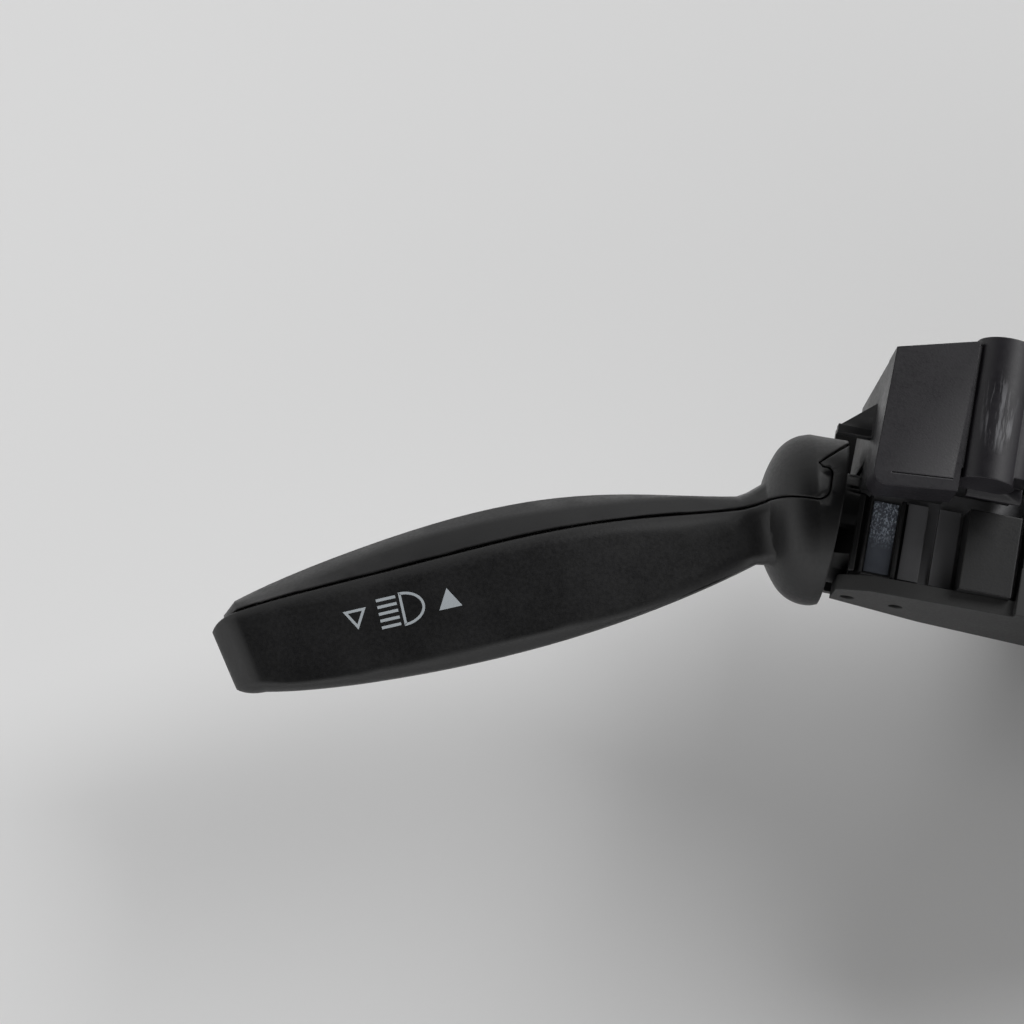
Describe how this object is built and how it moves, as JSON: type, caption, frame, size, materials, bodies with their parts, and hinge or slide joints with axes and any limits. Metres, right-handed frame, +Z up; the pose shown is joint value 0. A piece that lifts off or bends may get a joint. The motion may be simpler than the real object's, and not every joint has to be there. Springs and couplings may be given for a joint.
{
  "type": "steering column switch assembly",
  "caption": "Steering column switch: carrier with column collar, clock spring drum and two swept lever switches with faceted black stalks.",
  "frame": {"origin": "steering column axis at the driver-side face of the carrier front plate", "axes": "+X right as the driver sees it, +Y forward along the column away from the driver, +Z up"},
  "size_m": [0.3972, 0.0997, 0.095],
  "materials": {
    "band_steel": "zinc passivated",
    "board_green": "solder resist",
    "cam_plastic": "natural acetal",
    "carrier_plastic": "fine moulded grain",
    "case_plastic": "satin moulded",
    "connector_plastic": "moulded",
    "core_plastic": "glass-filled moulded",
    "cradle_plastic": "natural acetal",
    "drum_plastic": "satin moulded",
    "lid_plastic": "satin moulded",
    "pin_brass": "tinned",
    "plug_yellow": "moulded",
    "plunger_steel": "polished",
    "ribbon_film": "polyimide film",
    "rotor_plastic": "satin moulded",
    "screw_steel": "zinc passivated",
    "shield_film": "clear gloss film over black",
    "stalk_plastic": "fine spark-eroded grain"
  },
  "bodies": {
    "housing": {"carrier_housing": "carrier_plastic", "clamp_nut": "screw_steel", "clamp_screw": "screw_steel", "clockspring_cover": "drum_plastic", "clockspring_ribbon": "ribbon_film", "clockspring_stator": "drum_plastic", "column_clamp": "band_steel", "connector_pins": "pin_brass", "drum_screws": "screw_steel", "electronics_case": "case_plastic", "electronics_lid": "case_plastic", "left_board_posts": "case_plastic", "left_detent_track": "cradle_plastic", "left_module_board": "board_green", "left_module_case": "case_plastic", "left_module_lid": "lid_plastic", "left_shield_strip": "shield_film", "left_switch_case": "case_plastic", "main_board": "board_green", "main_connector": "connector_plastic", "right_board_posts": "case_plastic", "right_detent_track": "cradle_plastic", "right_module_board": "board_green", "right_module_case": "case_plastic", "right_module_lid": "lid_plastic", "right_shield_strip": "shield_film", "right_switch_case": "case_plastic"},
    "rotor": {"clockspring_rotor": "rotor_plastic", "cancel_cam": "cam_plastic", "rotor_plug": "plug_yellow"},
    "left_cradle": {"left_cradle": "cradle_plastic"},
    "left_lever": {"left_lever_core": "core_plastic", "left_stalk_front_shell": "stalk_plastic", "left_stalk_rear_shell": "stalk_plastic", "left_detent_spring": "plunger_steel"},
    "left_plunger": {"left_detent_plunger": "plunger_steel"},
    "left_slider": {"left_contact_slider": "cradle_plastic"},
    "right_cradle": {"right_cradle": "cradle_plastic"},
    "right_lever": {"right_lever_core": "core_plastic", "right_stalk_front_shell": "stalk_plastic", "right_stalk_rear_shell": "stalk_plastic", "right_detent_spring": "plunger_steel"},
    "right_plunger": {"right_detent_plunger": "plunger_steel"},
    "right_slider": {"right_contact_slider": "cradle_plastic"}
  },
  "joints": [
    {"name": "rotor_spin", "type": "hinge", "parent": "housing", "child": "rotor", "pos_m": [0, 0, 0], "axis": [0, 1, 0], "range_deg": [-900, 900]},
    {"name": "left_turn", "type": "hinge", "parent": "housing", "child": "left_cradle", "pos_m": [-0.072, 0.0139, 0.006], "axis": [0, 1, 0], "range_deg": [-6.5, 6.5]},
    {"name": "left_beam", "type": "hinge", "parent": "left_cradle", "child": "left_lever", "pos_m": [-0.072, 0.0139, 0.006], "axis": [0, 0, 1], "range_deg": [-4, 4], "stiffness_Nm_per_rad": 6},
    {"name": "left_detent", "type": "slide", "parent": "left_lever", "child": "left_plunger", "axis": [-1, 0, 0], "range_m": [0, 0.0012], "stiffness_N_per_m": 500, "deforming": ["left_detent_spring"]},
    {"name": "left_contact", "type": "slide", "parent": "housing", "child": "left_slider", "axis": [0, 0, 1], "range_m": [-0.0015, 0.0015]},
    {"name": "right_wipe", "type": "hinge", "parent": "housing", "child": "right_cradle", "pos_m": [0.072, 0.0139, 0.006], "axis": [0, 1, 0], "range_deg": [-6.5, 6.5]},
    {"name": "right_wash", "type": "hinge", "parent": "right_cradle", "child": "right_lever", "pos_m": [0.072, 0.0139, 0.006], "axis": [0, 0, 1], "range_deg": [-4, 4], "stiffness_Nm_per_rad": 6},
    {"name": "right_detent", "type": "slide", "parent": "right_lever", "child": "right_plunger", "axis": [1, 0, 0], "range_m": [0, 0.0012], "stiffness_N_per_m": 500, "deforming": ["right_detent_spring"]},
    {"name": "right_contact", "type": "slide", "parent": "housing", "child": "right_slider", "axis": [0, 0, 1], "range_m": [-0.0015, 0.0015]}
  ],
  "couplings": [
    {"joint": "left_contact", "follows": "left_turn", "m_per_rad": -0.012},
    {"joint": "right_contact", "follows": "right_wipe", "m_per_rad": 0.012}
  ]
}
